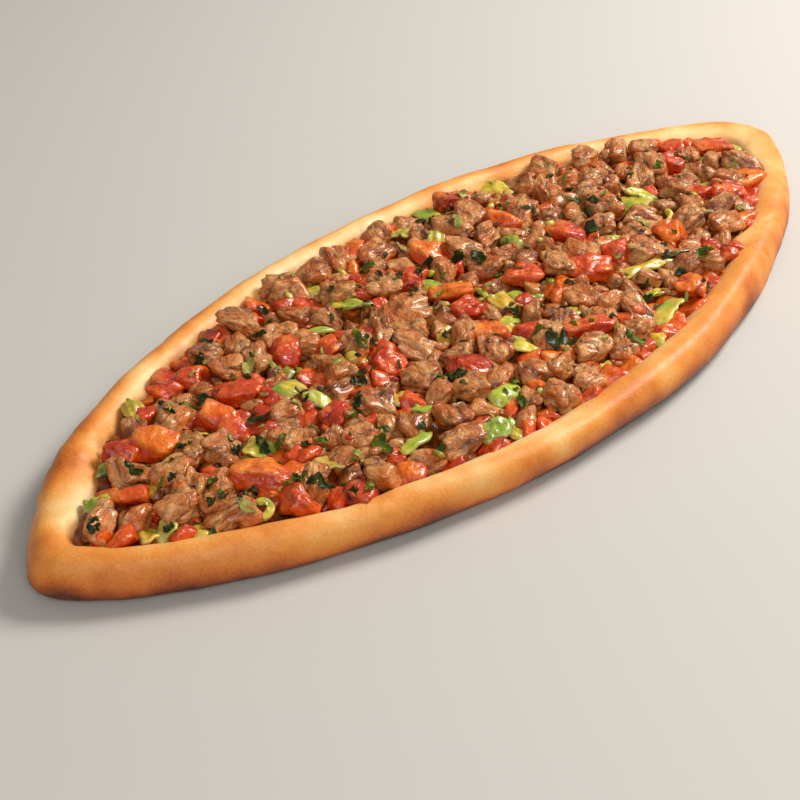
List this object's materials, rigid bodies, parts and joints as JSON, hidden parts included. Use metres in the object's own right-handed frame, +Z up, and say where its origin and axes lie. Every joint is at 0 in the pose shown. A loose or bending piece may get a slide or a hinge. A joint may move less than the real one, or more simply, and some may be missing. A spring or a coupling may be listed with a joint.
{
  "type": "turkish pide",
  "caption": "Long boat-shaped flatbread with a thick rolled rim, filled with cut meat, tomato and green pepper pieces.",
  "frame": {"origin": "middle of the underside, at the bottom centre of the bounding box", "axes": "+X along the bread towards its more open, blunter tip, +Y across it to the straighter long side, +Z up"},
  "size_m": [0.48, 0.1934, 0.0245],
  "materials": {
    "baked_dough": "baked golden crust, satin",
    "cooked_meat": "moist cooked meat",
    "cooked_tomato": "wet cooked tomato",
    "cooked_pepper": "moist cooked green pepper"
  },
  "bodies": {
    "root": {"crust": "baked_dough", "filling": "cooked_meat", "tomato_01": "cooked_tomato", "tomato_02": "cooked_tomato", "tomato_03": "cooked_tomato", "tomato_04": "cooked_tomato", "tomato_05": "cooked_tomato", "tomato_06": "cooked_tomato", "tomato_07": "cooked_tomato", "tomato_08": "cooked_tomato", "tomato_09": "cooked_tomato", "tomato_10": "cooked_tomato", "tomato_11": "cooked_tomato", "tomato_12": "cooked_tomato", "tomato_13": "cooked_tomato", "tomato_14": "cooked_tomato", "tomato_15": "cooked_tomato", "tomato_16": "cooked_tomato", "tomato_17": "cooked_tomato", "tomato_18": "cooked_tomato", "tomato_19": "cooked_tomato", "tomato_20": "cooked_tomato", "tomato_21": "cooked_tomato", "tomato_22": "cooked_tomato", "tomato_23": "cooked_tomato", "tomato_24": "cooked_tomato", "tomato_25": "cooked_tomato", "tomato_26": "cooked_tomato", "tomato_27": "cooked_tomato", "tomato_28": "cooked_tomato", "tomato_29": "cooked_tomato", "tomato_30": "cooked_tomato", "tomato_31": "cooked_tomato", "tomato_32": "cooked_tomato", "tomato_33": "cooked_tomato", "tomato_34": "cooked_tomato", "pepper_01": "cooked_pepper", "pepper_02": "cooked_pepper", "pepper_03": "cooked_pepper", "pepper_04": "cooked_pepper", "pepper_05": "cooked_pepper", "pepper_06": "cooked_pepper", "pepper_07": "cooked_pepper", "pepper_08": "cooked_pepper", "pepper_09": "cooked_pepper", "pepper_10": "cooked_pepper", "pepper_11": "cooked_pepper", "pepper_12": "cooked_pepper", "pepper_13": "cooked_pepper", "pepper_14": "cooked_pepper", "pepper_15": "cooked_pepper", "pepper_16": "cooked_pepper", "pepper_17": "cooked_pepper", "pepper_18": "cooked_pepper", "pepper_19": "cooked_pepper", "pepper_20": "cooked_pepper", "pepper_21": "cooked_pepper", "pepper_22": "cooked_pepper", "pepper_23": "cooked_pepper", "pepper_24": "cooked_pepper"}
  },
  "joints": []
}
